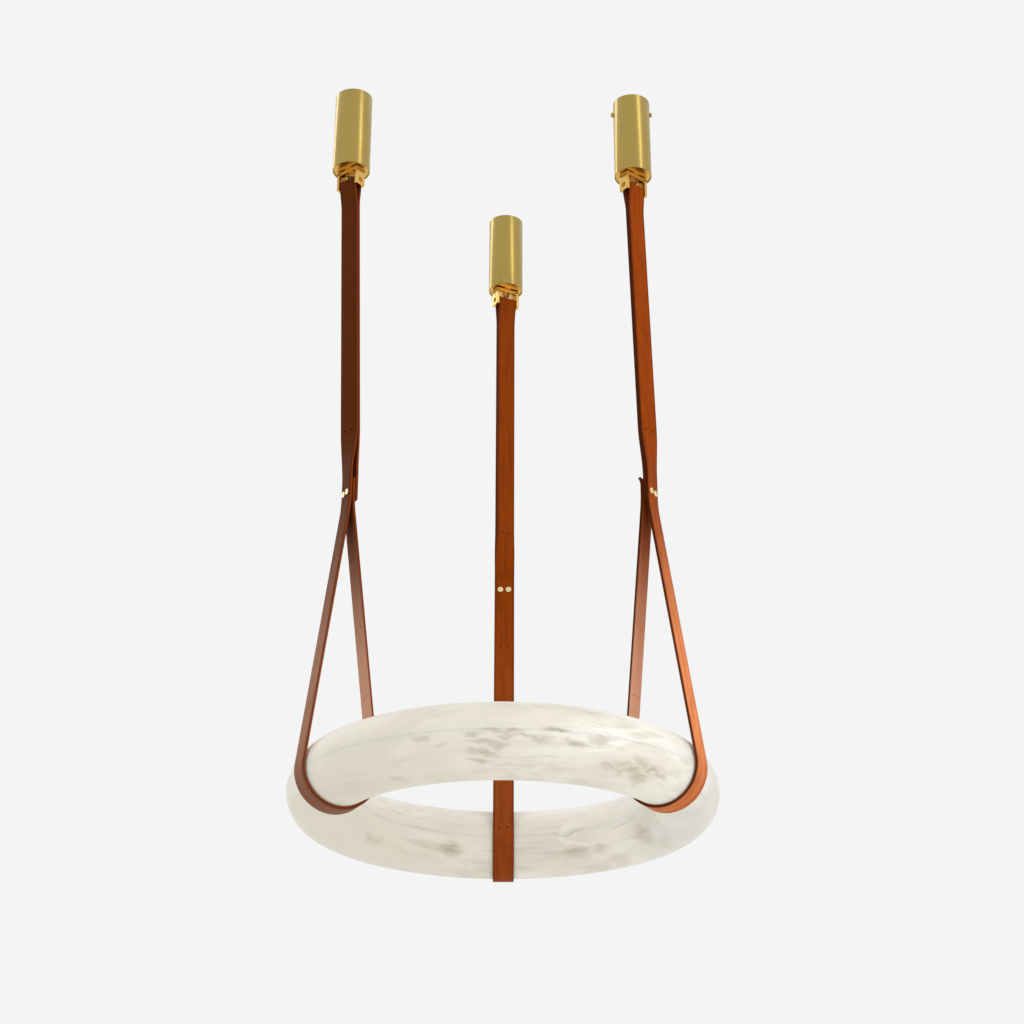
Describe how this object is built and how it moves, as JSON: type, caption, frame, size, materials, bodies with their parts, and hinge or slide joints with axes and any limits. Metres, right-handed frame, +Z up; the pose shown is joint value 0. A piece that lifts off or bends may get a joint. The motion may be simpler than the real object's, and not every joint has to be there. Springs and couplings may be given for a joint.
{
  "type": "ring pendant light",
  "caption": "Hollow alabaster ring light hung level in leather strap slings from separate brass cylinder canopies on the ceiling.",
  "frame": {"origin": "on the ring's vertical axis, in the plane of the ceiling", "axes": "+Z up; +Y towards the rear canopy; +X towards the right canopy's side"},
  "size_m": [0.6, 0.6052, 1.1503],
  "materials": {
    "alabaster": "honed, softly polished, grey clouds and pale veins",
    "satin_brass": "satin brass, brushed round",
    "polished_brass": "polished brass",
    "bridle_leather": "cognac bridle leather, waxed, dark edges",
    "zinc_steel": "zinc plated",
    "plain_aluminium": "plain",
    "light_strip_white": "white light strip",
    "driver_plastic": "light grey moulded plastic"
  },
  "bodies": {
    "ceiling_hangers": {"left_ceiling_bracket": "zinc_steel", "left_hanging_stud": "zinc_steel", "left_bracket_nut": "zinc_steel", "left_plate_nut": "zinc_steel", "left_end_plate": "satin_brass", "left_thrust_washer": "satin_brass", "left_swivel_nut": "satin_brass", "left_leather_strap": "bridle_leather", "left_screw_posts": "polished_brass", "left_clamp_screws": "polished_brass", "rear_ceiling_bracket": "zinc_steel", "rear_hanging_stud": "zinc_steel", "rear_bracket_nut": "zinc_steel", "rear_plate_nut": "zinc_steel", "rear_end_plate": "satin_brass", "rear_thrust_washer": "satin_brass", "rear_swivel_nut": "satin_brass", "rear_leather_strap": "bridle_leather", "rear_screw_posts": "polished_brass", "rear_clamp_screws": "polished_brass", "right_ceiling_bracket": "zinc_steel", "right_hanging_stud": "zinc_steel", "right_bracket_nut": "zinc_steel", "right_plate_nut": "zinc_steel", "right_end_plate": "satin_brass", "right_thrust_washer": "satin_brass", "right_swivel_nut": "satin_brass", "right_leather_strap": "bridle_leather", "right_screw_posts": "polished_brass", "right_clamp_screws": "polished_brass", "light_driver": "driver_plastic", "terminal_block": "driver_plastic"},
    "left_cover": {"left_canopy_cover": "satin_brass", "left_cover_screws": "satin_brass"},
    "left_swivel": {"left_clevis": "satin_brass", "left_strap_bar": "satin_brass"},
    "rear_cover": {"rear_canopy_cover": "satin_brass", "rear_cover_screws": "satin_brass"},
    "rear_swivel": {"rear_clevis": "satin_brass", "rear_strap_bar": "satin_brass"},
    "right_cover": {"right_canopy_cover": "satin_brass", "right_cover_screws": "satin_brass"},
    "right_swivel": {"right_clevis": "satin_brass", "right_strap_bar": "satin_brass"},
    "ring": {"upper_shell": "alabaster", "lower_shell": "alabaster", "locating_pins": "zinc_steel", "light_carrier": "plain_aluminium", "light_strip": "light_strip_white"}
  },
  "joints": [
    {"name": "left_cover_slide", "type": "slide", "parent": "ceiling_hangers", "child": "left_cover", "axis": [0, 0, -1], "range_m": [0, 0.11]},
    {"name": "left_clevis_swivel", "type": "hinge", "parent": "ceiling_hangers", "child": "left_swivel", "pos_m": [-0.23745, -0.11073, -0.1389], "axis": [0, 0, 1], "range_deg": [-25, 25], "deforming": ["left_leather_strap"]},
    {"name": "rear_cover_slide", "type": "slide", "parent": "ceiling_hangers", "child": "rear_cover", "axis": [0, 0, -1], "range_m": [0, 0.11]},
    {"name": "rear_clevis_swivel", "type": "hinge", "parent": "ceiling_hangers", "child": "rear_swivel", "pos_m": [0, 0.245, -0.1389], "axis": [0, 0, 1], "range_deg": [-25, 25], "deforming": ["rear_leather_strap"]},
    {"name": "right_cover_slide", "type": "slide", "parent": "ceiling_hangers", "child": "right_cover", "axis": [0, 0, -1], "range_m": [0, 0.11]},
    {"name": "right_clevis_swivel", "type": "hinge", "parent": "ceiling_hangers", "child": "right_swivel", "pos_m": [0.19671, -0.09851, -0.1389], "axis": [0, 0, 1], "range_deg": [-25, 25], "deforming": ["right_leather_strap"]},
    {"name": "ring_turn", "type": "hinge", "parent": "ceiling_hangers", "child": "ring", "pos_m": [0, 0, -1.096], "axis": [0, 0, 1], "continuous": true}
  ]
}
